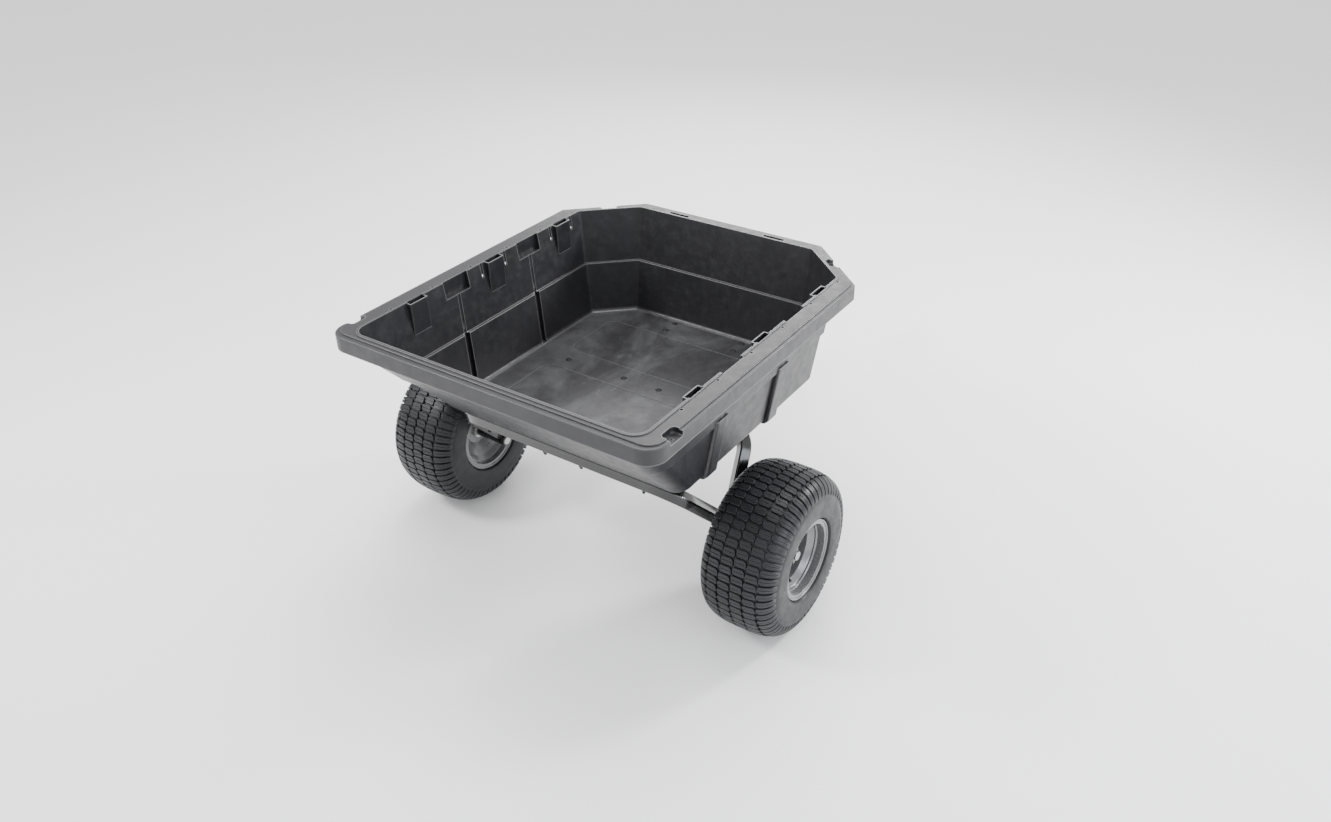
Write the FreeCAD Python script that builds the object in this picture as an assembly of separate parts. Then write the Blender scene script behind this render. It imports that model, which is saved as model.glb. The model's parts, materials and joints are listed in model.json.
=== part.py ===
"""Tow behind cart: a moulded tub on two bent tube leg frames, which tilts about a tongue.

Millimetres. +X towards the hitch, +Y to the left, +Z up. While the parts are made, x = 0 is the
wheel axle and z = 0 is the ground. On export everything is moved along X, so that the origin lies
on the ground under the middle of the overall length.
"""
import FreeCAD, Part
import math
import os

V = FreeCAD.Vector
X = V(1, 0, 0)
Y = V(0, 1, 0)
Z = V(0, 0, 1)

# ---- tub: outlines at the rim and at the floor (inside faces) -------------------------------
rim_z = 778.5                # top of the rim's outer ledge
rim_rear_x = -473.1
rim_side_end_x = 479.0       # where the front chamfers begin
rim_front_x = 659.9
rim_half_width = 501.7
rim_front_half_width = 306.0
rim_rear_radius = 50.0
rim_front_radius = 14.0
lip_height = 42.0
wall = 5.0
plateau_rise = 3.5
plateau_inset = 9.0
plateau_rear_inset = 15.0
bead_rise = 2.5
bead_width = 8.0
rim_edge_round = 3.0
bead_edge_round = 1.5
plateau_edge_round = 3.0

mouth_rear_x = -440.0
mouth_side_end_x = 484.0
mouth_front_x = 612.0
mouth_half_width = 441.0
mouth_front_half_width = 298.8
floor_z = 461.0
floor_rear_x = -203.0
floor_side_end_x = 455.0
floor_front_x = 553.0
floor_half_width = 390.0
chamfer_slope = (mouth_half_width - mouth_front_half_width) / (mouth_front_x - mouth_side_end_x)
floor_front_half_width = floor_half_width - (floor_front_x - floor_side_end_x) * chamfer_slope
knee_z = 722.0               # the rear wall is upright above this and a dump slope below it
ledge_z = 620.0
ledge_width = 7.0
ledge_round = 3.0
corner_radius = 38.0         # rear corners, inside
front_corner_radius = 16.0
foot_radius = 14.0           # walls into floor, inside

# ---- tub: fittings on a 6 inch grid ---------------------------------------------------------
inch = 25.4
grid = 6.0 * inch
grid_centre_x = 85.0
pocket_length = 58.0
pocket_width = 17.0
pocket_depth = 44.0
pocket_wall = 3.0
pocket_inner_y = 430.0
pockets_per_side = 3
rim_holes_per_side = 6
bulge_corner = 2.5
bulge_bottom_z = 690.0
front_pocket_length = 68.0
front_pocket_x = 618.0
front_pocket_y = 165.0
rim_hole_radius = 4.0
rim_hole_y = 455.0
notch_half_length = 47.0
notch_depth = 9.0
notch_bottom_z = 735.0
slot_half_length = 10.0      # divider slot in the lower wall
slot_depth = 12.0
slot_lean = 0.073            # rearwards shift of the slots per unit of fall below the notch
rib_half_length = 27.0
rib_height = 12.0
rib_round = 8.0
shallow_slot_half_length = 5.0
shallow_slot_depth = 2.5
drain_offset_x = 49.0
drain_z = 746.0
drain_radius = 3.5
drain_height = 9.0
drain_slot_depth = 3.0
tie_length = 50.0
tie_width = 28.0
tie_drop = 13.0               # below the rim's outer ledge
tie_hole_radius = 3.5
tie_rear_x = -385.0
tie_front_share = 0.54       # how far along the front chamfer
tie_corner = 12.0
tie_foot_round = 6.0
panel_depth = 1.0
panel_half_width = 305.0
panel_corner = 30.0
panel_spans = ((-135.0, 128.0), (232.0, 448.0))   # along X

# ---- leg frames -----------------------------------------------------------------------------
tube = 32.0
tube_wall = 2.5
tube_corner = 4.0
rear_frame_x = -185.0
front_frame_x = 176.0
strip_thickness = 1.5        # rubber strips between the steel and the tub
strip_width = 7.0
strip_half_length = 280.0
frame_top_z = floor_z - wall - strip_thickness
bend_y = 358.0
bend_radius = 85.0
leg_foot_y = 404.0
leg_foot_z = 247.0
gusset_thickness = 5.0
gusset_top_z = 312.0
gusset_y = 397.5             # its inner face

# ---- axles and wheels -----------------------------------------------------------------------
axle_z = 228.6
axle_radius = 12.7
axle_inner_y = 377.0
axle_outer_y = 616.0
sleeve_radius = 17.5
sleeve_inner_y = 379.0
sleeve_outer_y = 431.0
spacer_outer_y = 486.0
wheel_y = 543.8
tyre_radius = 228.6
tyre_half_width = 109.25
tyre_radial_depth = 76.0
tyre_exponent = 3.2
tyre_skin = 10.0
tyre_low_radius = 118.0      # where the sidewall turns in to the bead
tyre_bead_width = 17.0
tyre_curve_steps = 16
rim_flange_half_width = 98.5
rim_flange_radius = 112.9
bead_seat_radius = 100.5
drop_centre_radius = 84.0
rim_skin = 2.6
rim_round = 1.1
rim_curl_radius = 3.2        # rolled edge of each flange
disc_thickness = 3.0
disc_round = 1.4
disc_offsets = (-42.0, -42.0, -52.0, -68.0, -80.0, -80.0)    # hub to rim, from the middle plane
disc_radii = (24.0, 44.0, 56.0, 78.0, 90.0, 97.9)
bead_steps = ((78.0, 0.0), (74.5, 3.6), (71.0, 1.4), (67.0, 4.6))    # offset, drop from the seat
well_offset = 56.0
hub_radius = 24.0
hub_bore_radius = 18.0
hub_inner_y = 489.0
hub_outer_y = 599.0
bush_length = 30.0
bush_flange_radius = 22.0
bush_flange = 3.0
running_clearance = 0.06
fit_gap = 0.3
valve_lean = V(0, 0.747, -0.664)
valve_length = 24.0
valve_base_offset = 61.0
valve_base_radius = 88.0     # distance from the wheel axis
valve_foot_radius = 5.5
valve_foot_height = 7.0
valve_stem_radius = 3.8
valve_cap_radius = 4.6
valve_cap_length = 9.0
valve_angle = -120.0
washer_radius = 21.0
washer_thickness = 2.4
cotter_y = 608.0
cotter_radius = 2.0
cotter_eye_radius = 4.5
cotter_leg_spread = 11.0
cotter_leg_drop = 3.5
axle_chamfer = 1.0

# ---- dump pivot, tongue and hitch -----------------------------------------------------------
pivot_x = 0.0
pivot_z = 388.0
pivot_radius = 9.5
pivot_nut_across_flats = 30.0
pivot_nut_thickness = 15.0
pivot_head_thickness = 12.0
pivot_bolt_tail = 20.0
sleeve_outer_radius = 15.0
sleeve_side_gap = 0.5
rail_thickness = 5.0
rail_web_y = 32.0            # inner face of each pivot rail's web
rail_flange_width = 46.0
rail_rear_x = -193.0
rail_front_x = 190.0
rail_web_top_xs = (-118.0, 128.0)
rail_web_low_x = 34.0
rail_web_low_z = 364.0
tongue = 50.0
tongue_wall = 3.0
tongue_corner = 6.0
tongue_rear_x = -34.0
tongue_bend_x = 760.0
tongue_dip_x = 1080.0
tongue_bend_radius = 160.0
hitch_x = 1330.0
hitch_z = 290.0
hitch_plate_thickness = 8.0
hitch_plate_width = 60.0
hitch_plate_rear_x = 1190.0
hitch_tube_front_x = 1262.0
hitch_hole_radius = 8.0
hitch_bolt_xs = (1212.0, 1244.0)
hitch_bolt_radius = 6.0
hitch_bolt_across_flats = 19.0
hitch_bolt_head = 7.5
hitch_nut_thickness = 10.0
hitch_bolt_tail = 14.0
hole_play = 0.3
cap_lid = 4.0
cap_plug = 14.0

# ---- fasteners ------------------------------------------------------------------------------
bolt_radius = 4.0
bolt_hole_radius = 4.3
bolt_head_radius = 9.5
bolt_head_height = 3.2
nut_across_flats = 13.0
nut_thickness = 6.5
bolt_tip_z = 405.0
frame_bolt_ys = (61.0, 262.0)
latch_bolt_xs = (482.0, 533.0)
latch_bolt_y = 122.0
latch_bolt_tip_z = 442.5

# ---- tub latch ------------------------------------------------------------------------------
latch_plate_thickness = 4.0
latch_plate_rear_x = 462.0
latch_plate_front_x = 556.0
latch_plate_half_width = 145.0
latch_strip_inset = 2.0
latch_ear_y = 34.0
latch_ear_front_x = 616.0
latch_ear_bottom_z = 430.0
latch_ear_rear_x = 482.0
striker_tail = 4.0
striker_x = 600.0
striker_z = 444.0
striker_radius = 6.0
lever_pivot_x = 628.0
lever_pivot_z = 432.0
lever_pin_radius = 5.0
lever_thickness = 8.0
lever_release_angle = 30.0
lever_ear_thickness = 5.0
lever_ear_half_length = 14.0
lever_ear_rise = 12.0        # above the pin
lever_ear_gap = 0.6
lever_ear_round = 8.0
lever_pin_tail = 4.0
hook_play = 1.0              # between the closed hook and the striker rod
hook_depth = 9.0
lever_half_height = 9.0
pedal_x = 742.0              # middle of the pedal when the latch is released
pedal_z = 444.0
pedal_length = 62.0
pedal_width = 84.0
pedal_thickness = 4.0
pad_thickness = 5.0
pedal_corner = 8.0
pad_margin = 4.0
pad_corner = 6.0
pad_groove_pitch = 9.0
pad_groove_width = 2.7
pad_groove_depth = 1.5
rest_pad_thickness = 10.0
rest_pad_corner = 3.0
rest_block_xs = (470.0, 540.0)


def pill(radius, p0, p1):
    """Cylinder of the given radius from point p0 to point p1."""
    axis = p1 - p0
    return Part.makeCylinder(radius, axis.Length, p0, axis)


def ring(outer, inner, p0, p1):
    """Tube between two points."""
    return pill(outer, p0, p1).cut(pill(inner, p0, p1))


def box(x0, x1, y0, y1, z0, z1):
    """Box between two corners, given axis by axis in any order."""
    low = V(min(x0, x1), min(y0, y1), min(z0, z1))
    return Part.makeBox(abs(x1 - x0), abs(y1 - y0), abs(z1 - z0), low)


def fuse_all(shapes):
    """One shape from several touching or overlapping ones."""
    return shapes[0].multiFuse(shapes[1:]).removeSplitter()


def both_sides(shape):
    """The shape and its mirror image across the cart's middle plane."""
    return [shape, shape.mirror(V(0, 0, 0), Y)]


def rounded_wire(points, radii):
    """Closed wire through the points, each corner rounded to its own radius."""
    edges = []
    ends = []
    count = len(points)
    for i in range(count):
        corner = points[i]
        back = (points[i - 1] - corner).normalize()
        ahead = (points[(i + 1) % count] - corner).normalize()
        half_angle = back.getAngle(ahead) / 2
        reach = radii[i] / math.tan(half_angle)
        start = corner + back * reach
        stop = corner + ahead * reach
        middle_line = (back + ahead).normalize()
        centre = corner + middle_line * (radii[i] / math.sin(half_angle))
        middle = centre - middle_line * radii[i]
        edges.append(Part.Arc(start, middle, stop).toShape())
        ends.append((start, stop))
    for i in range(count):
        gap_start = ends[i][1]
        gap_stop = ends[(i + 1) % count][0]
        if (gap_stop - gap_start).Length > 1e-6:
            edges.append(Part.makeLine(gap_start, gap_stop))
    return Part.Wire(Part.__sortEdges__(edges))


def rounded_prism(points, radii, height):
    """Upright prism with rounded corners, from the points' own level."""
    return Part.Face(rounded_wire(points, radii)).extrude(Z * height)


def grow(points, amount):
    """Offset a convex outline, listed anticlockwise, outwards by the amount."""
    count = len(points)
    lines = []
    for i in range(count):
        along = (points[(i + 1) % count] - points[i]).normalize()
        outward = along.cross(Z)
        lines.append((points[i] + outward * amount, along))
    grown = []
    for i in range(count):
        base, along = lines[i - 1]
        other, across = lines[i]
        normal = across.cross(Z)
        step = (other - base).dot(normal) / along.dot(normal)
        grown.append(base + along * step)
    return grown


def six_sided(rear_x, side_end_x, front_x, half_width, front_half_width, z):
    """Tub outline at one level, anticlockwise from the rear right corner."""
    return [V(rear_x, -half_width, z), V(side_end_x, -half_width, z),
            V(front_x, -front_half_width, z), V(front_x, front_half_width, z),
            V(side_end_x, half_width, z), V(rear_x, half_width, z)]


def blend(low, high, z):
    """Straight-line value between the floor's and the mouth's, at height z."""
    return low + (high - low) * (z - floor_z) / (rim_z - floor_z)


def rear_wall_x(z):
    """Inside of the rear wall at height z: upright at the top, a dump slope below."""
    share = min(1.0, (z - floor_z) / (knee_z - floor_z))
    return floor_rear_x + (mouth_rear_x - floor_rear_x) * share


def inside_half_width(z):
    return blend(floor_half_width, mouth_half_width, z)


def cavity_outline(z):
    """Nominal inside outline of the tub at height z."""
    return six_sided(rear_wall_x(z), blend(floor_side_end_x, mouth_side_end_x, z),
                     blend(floor_front_x, mouth_front_x, z), inside_half_width(z),
                     blend(floor_front_half_width, mouth_front_half_width, z), z)


def drafted(low, high):
    """Solid between two outlines whose matching edges are parallel."""
    faces = [Part.Face(Part.makePolygon(low + [low[0]])), Part.Face(Part.makePolygon(high + [high[0]]))]
    for i in range(len(low)):
        j = (i + 1) % len(low)
        faces.append(Part.Face(Part.makePolygon([low[i], low[j], high[j], high[i], low[i]])))
    return Part.Solid(Part.makeShell(faces))


def is_steep(edge):
    """True for the edges between neighbouring walls."""
    return abs((edge.Vertexes[1].Point - edge.Vertexes[0].Point).z) > 20.0


def is_upright(edge):
    ends = [v.Point for v in edge.Vertexes]
    return len(ends) == 2 and (ends[1] - ends[0]).cross(Z).Length < 0.01


def round_walls(solid, rear_radius, front_radius):
    """Round the edges between the tub's walls."""
    rear = [e for e in solid.Edges if is_steep(e) and e.CenterOfMass.x < 0]
    front = [e for e in solid.Edges if is_steep(e) and e.CenterOfMass.x > 0]
    return solid.makeFillet(rear_radius, rear).makeFillet(front_radius, front)


def round_foot(solid, z, radius):
    """Round the edges around the floor."""
    return solid.makeFillet(radius, [e for e in solid.Edges if abs(e.BoundBox.ZMax - z) < 0.01])


def tub_block(bottom_z, floor_offset, rim_offset, growth):
    """Solid block in the tub's form, with its walls offset outwards at the floor and at the rim."""
    levels = (bottom_z, knee_z, rim_z + 2 * wall)
    low, knee, top = [grow(cavity_outline(z), blend(floor_offset, rim_offset, z)) for z in levels]
    block = fuse_all([drafted(low, knee), drafted(knee, top)])
    block = round_walls(block, corner_radius + growth, front_corner_radius + growth)
    return round_foot(block, bottom_z, foot_radius + growth)


def stepped_block(bottom_z, step_z, growth):
    """Block in the tub's form whose walls step outwards at one level, grown on all sides."""
    everywhere = 2000
    below = box(-everywhere, everywhere, -everywhere, everywhere, 0, step_z)
    lower = tub_block(bottom_z, growth, growth - ledge_width, growth).common(below)
    upper = tub_block(bottom_z, growth + ledge_width, growth, growth).cut(below)
    return softened(fuse_all([lower, upper]), step_z, ledge_round)


def hull_solid():
    """Outside of the tub's walls and floor as one solid block, up to the rim."""
    block = stepped_block(floor_z - wall, ledge_z - wall, wall)
    return block.cut(box(-2000, 2000, -2000, 2000, rim_z, rim_z + 100))


def cavity_solid():
    """Inside of the tub, a little wider above its ledge."""
    return stepped_block(floor_z, ledge_z, 0)


def bar_outline(half_length, depth, outer_middle):
    """Rectangle from the middle of its outer edge, anticlockwise."""
    across = X * half_length
    inner_middle = outer_middle - Y * depth
    return [inner_middle - across, inner_middle + across, outer_middle + across, outer_middle - across]


def slab_at_wall(half_length, depth, low, high):
    """Upright bar on the left wall between the middles of its outer edges, low and high."""
    return drafted(bar_outline(half_length, depth, low), bar_outline(half_length, depth, high))


def pocket_xs():
    middle = (pockets_per_side - 1) / 2
    return [grid_centre_x + 2 * grid * (k - middle) for k in range(pockets_per_side)]


def divider_xs():
    return [grid_centre_x + grid * k for k in (-1, 1)]


def rim_outline(inset, rear_inset, z):
    """Outline of the rim, moved inwards."""
    outline = six_sided(rim_rear_x, rim_side_end_x, rim_front_x, rim_half_width,
                        rim_front_half_width, z)
    inner = grow(outline, -inset)
    for corner in (inner[0], inner[5]):
        corner.x += rear_inset - inset
    return inner


def corner_radii(rear, front):
    return [rear, front, front, front, front, rear]


def softened(solid, z, radius):
    """Round the edges that lie level at height z."""
    level = [e for e in solid.Edges if e.BoundBox.ZMin > z - 0.01 and e.BoundBox.ZMax < z + 0.01]
    return solid.makeFillet(radius, level)


def rim_flange():
    """Flat rim with its outer ledge, raised plateau, inner bead and turned-down lip."""
    radii = corner_radii(rim_rear_radius, rim_front_radius)
    skirt = rounded_prism(rim_outline(0, 0, rim_z - lip_height), radii, lip_height)
    skirt = softened(skirt, rim_z, rim_edge_round)
    inner_radii = corner_radii(rim_rear_radius - wall, rim_front_radius - wall)
    hollow = rounded_prism(rim_outline(wall, wall, rim_z - lip_height), inner_radii, lip_height - wall)
    plateau_radii = corner_radii(rim_rear_radius - plateau_inset, rim_front_radius)
    plateau = rounded_prism(rim_outline(plateau_inset, plateau_rear_inset, rim_z - 1),
                            plateau_radii, plateau_rise + 1)
    plateau = softened(plateau, rim_z + plateau_rise, plateau_edge_round)
    bead_outline = [V(p.x, p.y, rim_z - 1) for p in grow(cavity_outline(rim_z), bead_width)]
    bead_radii = corner_radii(corner_radius + bead_width, front_corner_radius + bead_width)
    bead = rounded_prism(bead_outline, bead_radii, plateau_rise + bead_rise + 1)
    bead = softened(bead, rim_z + plateau_rise + bead_rise, bead_edge_round)
    return fuse_all([skirt.cut(hollow), plateau, bead])


def slot_x(x, z):
    """Middle of a divider slot at height z, for a notch centred at x."""
    return x - slot_lean * (notch_bottom_z - z)


def divider_rib(x):
    """Rib on the outside of the left wall, behind a divider slot."""
    low_z = floor_z - wall
    high_z = ledge_z + 10
    reach = wall + rib_height
    low = V(slot_x(x, low_z), inside_half_width(low_z) + reach, low_z)
    high = V(slot_x(x, high_z), inside_half_width(high_z) + reach - ledge_width / 2, high_z)
    foot = V(low.x, low.y - rib_round, low_z)
    radii = [1.0, 1.0, rib_round, rib_round]
    levels = [rounded_wire(bar_outline(rib_half_length, rib_height + wall, p), radii)
              for p in (foot, low + Z * rib_round, high)]
    return Part.makeLoft(levels, True, True)


def divider_slot(x):
    """Cut for one divider board: notch in the rim, shallow slot, and deep slot below the ledge."""
    notch = box(x - notch_half_length, x + notch_half_length, inside_half_width(rim_z) - 2 * wall,
                inside_half_width(rim_z) + notch_depth, notch_bottom_z, rim_z + 2 * wall)
    step = ledge_width / 2
    foot_y = inside_half_width(ledge_z) + step + shallow_slot_depth
    head_y = inside_half_width(notch_bottom_z) + shallow_slot_depth
    shallow = slab_at_wall(shallow_slot_half_length, shallow_slot_depth + step,
                           V(slot_x(x, ledge_z), foot_y, ledge_z - 1), V(x, head_y, notch_bottom_z + 1))
    low_y = inside_half_width(floor_z) + slot_depth
    high_y = inside_half_width(ledge_z) - step + slot_depth
    deep = slab_at_wall(slot_half_length, slot_depth + wall, V(slot_x(x, floor_z), low_y, floor_z + 1),
                        V(slot_x(x, ledge_z), high_y, ledge_z))
    return [notch, shallow, deep]


def rim_backing(x, half_length, outer_y, low_z):
    """Block under the left rim that closes the back of a pocket or notch."""
    return box(x - half_length, x + half_length, inside_half_width(rim_z) - wall, outer_y, low_z,
               rim_z - 1)


def side_pocket(x):
    """Stake pocket hole in the left rim."""
    return box(x - pocket_length / 2, x + pocket_length / 2, pocket_inner_y,
               pocket_inner_y + pocket_width, rim_z - pocket_depth, rim_z + 2 * wall)


def front_pocket():
    """Stake pocket hole in the front rim, left of the middle."""
    half = front_pocket_length / 2
    return box(front_pocket_x, front_pocket_x + pocket_width, front_pocket_y - half,
               front_pocket_y + half, rim_z - pocket_depth, rim_z + 2 * wall)


def drain(x):
    """Cuts for a shallow slot down the left wall and the oval hole at its foot."""
    wall_y = inside_half_width(drain_z)
    half = drain_height / 2 - drain_radius
    ends = [pill(drain_radius, V(x, wall_y - 2 * wall, z), V(x, wall_y + 2 * wall, z))
            for z in (drain_z - half, drain_z + half)]
    middle = box(x - drain_radius, x + drain_radius, wall_y - 2 * wall, wall_y + 2 * wall,
                 drain_z - half, drain_z + half)
    top = V(x, inside_half_width(rim_z) + drain_slot_depth, rim_z + 2 * wall)
    slot = slab_at_wall(drain_radius, 2 * drain_slot_depth, V(x, wall_y + drain_slot_depth, drain_z), top)
    return [fuse_all(ends + [middle]), slot]


def tie_place(x, y, turn):
    """Placement whose local +Y points outwards from the rim's edge."""
    return FreeCAD.Placement(V(x, y, 0), FreeCAD.Rotation(Z, turn))


def tie_places():
    """Places of the left tie-down scoops: near the rear corner and on the front chamfer."""
    end_a = V(rim_side_end_x, rim_half_width, 0)
    end_b = V(rim_front_x, rim_front_half_width, 0)
    along = end_b - end_a
    turn = math.degrees(math.atan2(along.y, along.x))
    middle = end_a + along * tie_front_share
    return [tie_place(tie_rear_x, rim_half_width, 0), tie_place(middle.x, middle.y, turn)]


def tie_scoop(growth, outside, high_z, place):
    """Block in the form of a tie-down scoop at the rim's outer edge, grown on its closed sides."""
    half = tie_length / 2 + growth
    depth = tie_width + growth
    low = rim_z - tie_drop - growth
    shape = box(-half, half, -depth, outside, low, high_z)
    inner = [e for e in shape.Edges if is_upright(e) and e.CenterOfMass.y < 0.1 - depth]
    shape = shape.makeFillet(tie_corner + growth, inner)
    foot = [e for e in shape.Edges if e.BoundBox.ZMax < low + 0.01 and e.CenterOfMass.y < outside - 1]
    shape = shape.makeFillet(tie_foot_round + growth, foot)
    shape.Placement = place
    return shape


def tie_hole(place):
    """Hole down through the scoop's floor."""
    hole = pill(tie_hole_radius, V(0, -tie_width / 2, rim_z - lip_height), V(0, -tie_width / 2, rim_z))
    hole.Placement = place
    return hole


def floor_bolt_places():
    """Bolts through the floor into the leg frames."""
    return [V(x, side * y, 0) for x in (rear_frame_x, front_frame_x) for y in frame_bolt_ys
            for side in (1, -1)]


def latch_bolt_places():
    return [V(x, side * latch_bolt_y, 0) for x in latch_bolt_xs for side in (1, -1)]


def floor_panel(rear_x, front_x):
    """Shallow recess in the floor."""
    z = floor_z - panel_depth
    low = [V(rear_x, -panel_half_width, z), V(front_x, -panel_half_width, z),
           V(front_x, panel_half_width, z), V(rear_x, panel_half_width, z)]
    return rounded_prism(low, [panel_corner] * 4, panel_depth + 1)


def tub():
    """The moulded tub in one piece."""
    hull = hull_solid()
    added = []
    cuts = []
    behind_y = inside_half_width(rim_z) + notch_depth + wall
    for x in divider_xs():
        added.append(divider_rib(x))
        added.append(rim_backing(x, notch_half_length + wall, behind_y, notch_bottom_z - wall))
        cuts += divider_slot(x)
    pocket_outer_y = pocket_inner_y + pocket_width + pocket_wall
    pocket_floor_z = rim_z - pocket_depth - pocket_wall
    bulges = []
    for x in pocket_xs():
        half = pocket_length / 2 + pocket_wall
        added.append(rim_backing(x, half, pocket_outer_y, pocket_floor_z))
        bulge = box(x - half, x + half, pocket_inner_y - pocket_wall, rim_half_width,
                    bulge_bottom_z, rim_z + plateau_rise)
        inner = [e for e in bulge.Edges if is_steep(e) and e.CenterOfMass.y < rim_half_width - 1]
        bulges.append(bulge.makeFillet(bulge_corner, inner))
        cuts.append(side_pocket(x))
    for x in pocket_xs()[1:]:
        cuts += drain(x - drain_offset_x) + drain(x + drain_offset_x)
    half = front_pocket_length / 2 + pocket_wall
    added.append(box(front_pocket_x - 2 * wall, front_pocket_x + pocket_width + pocket_wall,
                     front_pocket_y - half, front_pocket_y + half, pocket_floor_z, rim_z - 1))
    cuts.append(front_pocket())
    for k in range(rim_holes_per_side):
        x = grid_centre_x + grid * (k - (rim_holes_per_side - 1) / 2)
        cuts.append(pill(rim_hole_radius, V(x, rim_hole_y, rim_z - 2 * wall),
                         V(x, rim_hole_y, rim_z + 2 * wall)))
    for place in tie_places():
        added.append(tie_scoop(wall, -1, rim_z - 1, place))
        cuts.append(tie_scoop(0, 2 * wall, rim_z + 2 * wall, place))
        cuts.append(tie_hole(place))
    cavity = cavity_solid()
    body = fuse_all([hull, rim_flange()] + [s for part in added for s in both_sides(part)])
    body = body.cut(cavity)
    within = hull.fuse(rim_flange())
    inside = [s.common(within) for part in bulges for s in both_sides(part)]
    body = fuse_all([body] + inside)
    body = body.cut([s for part in cuts for s in both_sides(part)])
    panels = [floor_panel(*span) for span in panel_spans]
    holes = [pill(bolt_hole_radius, p + Z * (floor_z - 2 * wall), p + Z * (floor_z + wall))
             for p in floor_bolt_places() + latch_bolt_places()]
    return body.cut(panels + holes).removeSplitter()


def bent_path(points, radius):
    """Wire of straight runs joined by arcs of one radius."""
    edges = []
    start = points[0]
    for i in range(1, len(points) - 1):
        back = (points[i - 1] - points[i]).normalize()
        ahead = (points[i + 1] - points[i]).normalize()
        half_angle = back.getAngle(ahead) / 2
        reach = radius / math.tan(half_angle)
        enter = points[i] + back * reach
        leave = points[i] + ahead * reach
        middle_line = (back + ahead).normalize()
        middle = points[i] + middle_line * (radius / math.sin(half_angle) - radius)
        edges.append(Part.makeLine(start, enter))
        edges.append(Part.Arc(enter, middle, leave).toShape())
        start = leave
    edges.append(Part.makeLine(start, points[-1]))
    return Part.Wire(edges)


def square_wire(centre, side, across, up, radius):
    """Rounded square about a centre point."""
    half = side / 2
    corners = [centre + across * (half * a) + up * (half * b)
               for a, b in ((-1, -1), (1, -1), (1, 1), (-1, 1))]
    return rounded_wire(corners, [radius] * 4)


def square_bar(path, centre, side, across, up, radius):
    """Solid square bar along a path that starts at the centre point."""
    return path.makePipeShell([square_wire(centre, side, across, up, radius)], True, False)


def leg_half(frame_x, side, radius):
    """Left half of a leg frame, from the middle of the cross run to beyond the leg's foot."""
    run_z = frame_top_z - tube / 2
    middle = V(frame_x, 0, run_z)
    bend = V(frame_x, bend_y, run_z)
    foot = V(0, leg_foot_y, leg_foot_z)
    beyond = foot + (foot - bend).normalize() * tube
    path = bent_path([middle, bend, beyond], bend_radius)
    return square_bar(path, middle, side, X, Z, radius)


def leg_frame(frame_x):
    """Square tube bent into a bridge: a cross run under the tub and a leg down to each axle sleeve."""
    outer = leg_half(frame_x, tube, tube_corner)
    inner = leg_half(frame_x, tube - 2 * tube_wall, tube_corner - tube_wall)
    half = outer.cut(inner)
    far = 500 * (1 if frame_x < 0 else -1)
    half = half.cut(box(0, far, 0, 600, 0, 600))
    half = half.cut(axle_pill(sleeve_radius, 0, 600))
    holes = [pill(bolt_hole_radius, V(frame_x, y, frame_top_z - 2 * tube), V(frame_x, y, frame_top_z + 1))
             for y in frame_bolt_ys]
    half = half.cut(holes)
    return half.fuse(half.mirror(V(0, 0, 0), Y)).removeSplitter()


def strip(x, half_length):
    """Rubber strip across the cart under the tub, centred at x."""
    return box(x - strip_width / 2, x + strip_width / 2, -half_length, half_length, frame_top_z,
               frame_top_z + strip_thickness)


def frame_strips(frame_x):
    """Two strips on a leg frame's cross run, one on each side of its bolts."""
    reach = tube / 2 - tube_corner - strip_width / 2
    return Part.makeCompound([strip(frame_x + way * reach, strip_half_length) for way in (-1, 1)])


def latch_strips():
    """Strips along the latch bracket's front and rear edges."""
    reach = latch_strip_inset + strip_width / 2
    half = latch_plate_half_width - latch_strip_inset
    return Part.makeCompound([strip(latch_plate_rear_x + reach, half),
                              strip(latch_plate_front_x - reach, half)])


def axle_pill(radius, y0, y1):
    """Cylinder about the wheel axis on the left side."""
    return pill(radius, V(0, y0, axle_z), V(0, y1, axle_z))


def axle_ring(outer, inner, y0, y1):
    return axle_pill(outer, y0, y1).cut(axle_pill(inner, y0 - 1, y1 + 1))


def gusset():
    """Plate between the two legs on the left side, above the sleeve."""
    legs = [leg_half(x, tube, tube_corner) for x in (rear_frame_x, front_frame_x)]
    reach = gusset_top_z - axle_z
    corners = [V(0, gusset_y, axle_z), V(reach, gusset_y, gusset_top_z),
               V(-reach, gusset_y, gusset_top_z)]
    plate = Part.Face(Part.makePolygon(corners + [corners[0]])).extrude(Y * gusset_thickness)
    pieces = plate.cut(legs + [axle_pill(sleeve_radius, 0, 600)]).Solids
    middle = [p for p in pieces if p.CenterOfMass.z > axle_z and abs(p.CenterOfMass.x) < 5]
    return max(middle, key=lambda piece: piece.Volume)


def axle_sleeve():
    return axle_ring(sleeve_radius, axle_radius, sleeve_inner_y, sleeve_outer_y)


def stub_axle():
    shaft = axle_pill(axle_radius, axle_inner_y, axle_outer_y)
    shaft = shaft.makeChamfer(axle_chamfer, [e for e in shaft.Edges if len(e.Vertexes) == 1])
    return shaft.cut(pill(cotter_radius + 0.2, V(0, cotter_y, 0), V(0, cotter_y, 2 * axle_z)))


def axle_spacer():
    return axle_ring(sleeve_radius, axle_radius + fit_gap, sleeve_outer_y, spacer_outer_y)


def axle_washers():
    inner = axle_ring(washer_radius, axle_radius + fit_gap, spacer_outer_y,
                      spacer_outer_y + washer_thickness)
    start = hub_outer_y + bush_flange + fit_gap
    outer = axle_ring(washer_radius, axle_radius + fit_gap, start, start + washer_thickness)
    return Part.makeCompound([inner, outer])


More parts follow.
